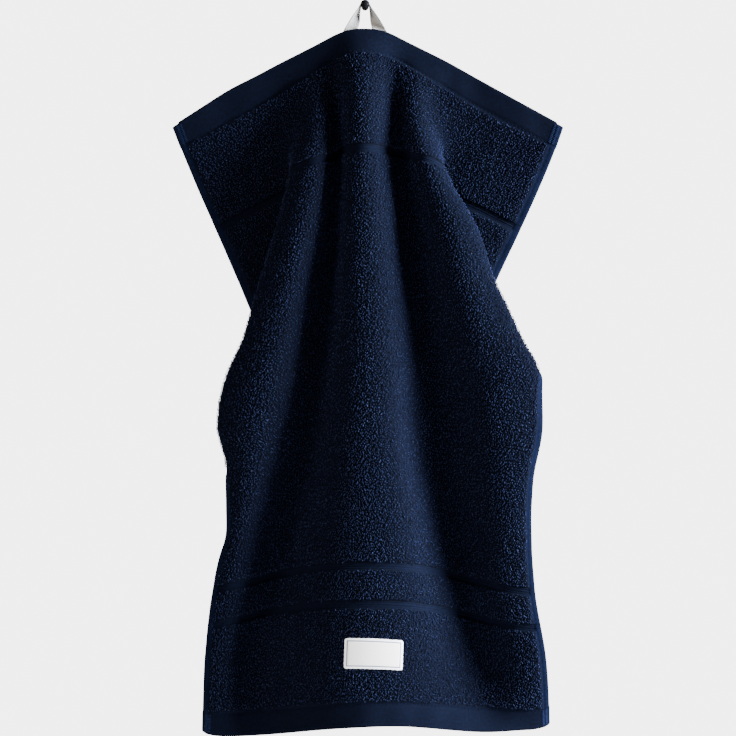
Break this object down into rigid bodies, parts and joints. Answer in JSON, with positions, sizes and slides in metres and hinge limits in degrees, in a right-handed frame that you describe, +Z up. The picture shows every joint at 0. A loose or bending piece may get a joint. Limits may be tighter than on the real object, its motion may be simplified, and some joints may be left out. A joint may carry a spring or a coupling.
{
  "type": "guest towel hung on a wall peg",
  "caption": "Cotton terry guest towel hung in folds by its ribbon loop from a ball-headed wall peg, with flat hems, recessed bands and a plain sewn label.",
  "frame": {"origin": "where the peg's axis meets the wall, at the centre of the flat back of its foot", "axes": "+Z up, +X to the right seen from the front, +Y into the wall; the towel's front faces -Y"},
  "size_m": [0.277, 0.0478, 0.5214],
  "materials": {
    "terry_cotton": "navy blue cotton terry, soft and matt, flat-woven at the hems, edges and bands",
    "loop_ribbon": "white woven ribbon with a faint sheen",
    "label_weave": "white woven label with a thin grey frame line",
    "peg_gloss": "gloss black"
  },
  "bodies": {
    "root": {"towel_cloth": "terry_cotton", "hanging_loop": "loop_ribbon", "sewn_label": "label_weave", "wall_peg": "peg_gloss"}
  },
  "joints": []
}
